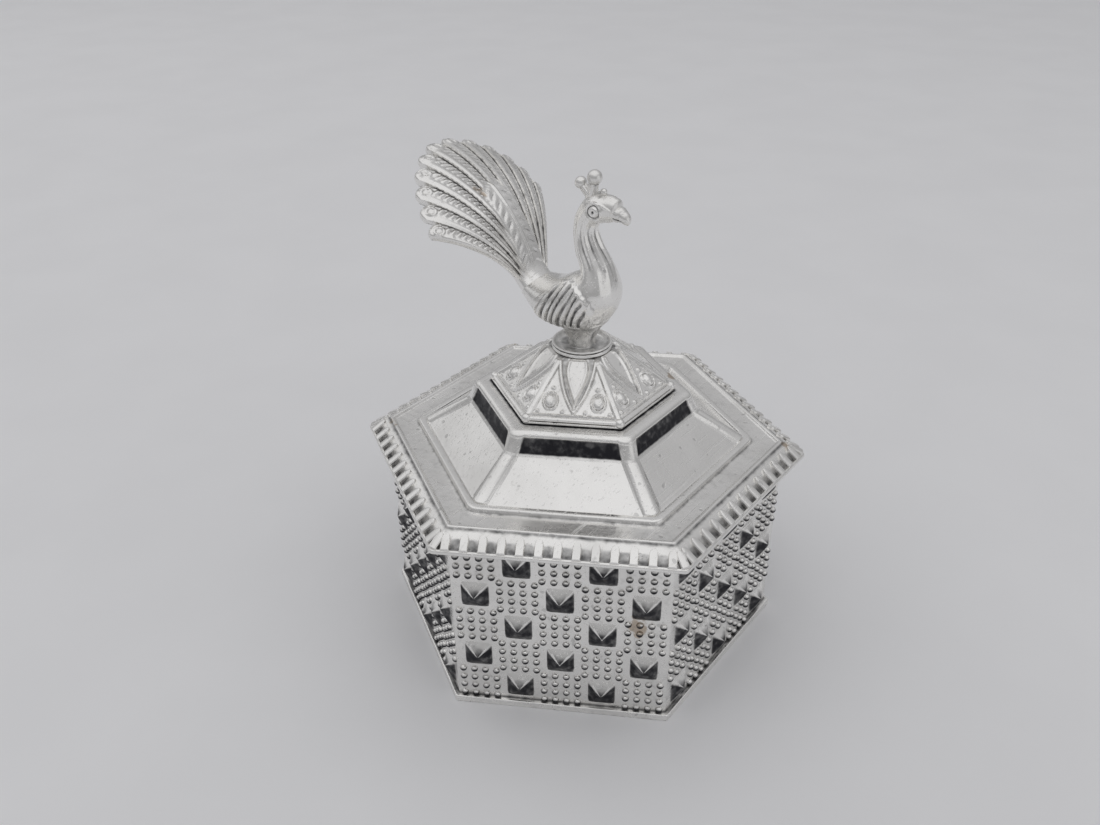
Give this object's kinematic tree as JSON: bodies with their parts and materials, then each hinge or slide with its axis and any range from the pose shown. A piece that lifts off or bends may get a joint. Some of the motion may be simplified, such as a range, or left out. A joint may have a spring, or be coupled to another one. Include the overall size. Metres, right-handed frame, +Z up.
{
  "type": "kumkum box",
  "caption": "Hexagonal silver-plated kumkum box: relief-cast walls, lift-off stepped lid with a lotus cap and a peacock finial to lift it by.",
  "frame": {"origin": "middle of the foot plate's underside, on the surface that the box stands on", "axes": "+Z up; +X the way the peacock faces, square to one flat of the hexagon; +Y to the peacock's left, through a corner"},
  "size_m": [0.0628, 0.072, 0.0779],
  "materials": {
    "silver_plate": "bright silver plate on cast metal, dark in the recesses, worn on the edges",
    "steel_screw": "plain turned steel"
  },
  "bodies": {
    "box": {"wall_ring": "silver_plate", "floor_plate": "silver_plate"},
    "lid": {"lid_shell": "silver_plate", "locating_strip": "silver_plate", "lotus_cap": "silver_plate", "peacock_body": "silver_plate", "tail_fan": "silver_plate", "crest": "silver_plate", "finial_screw": "steel_screw", "finial_washer": "steel_screw"}
  },
  "joints": [
    {"name": "lid_lift", "type": "slide", "parent": "box", "child": "lid", "axis": [0, 0, 1], "range_m": [0, 0.06]}
  ]
}
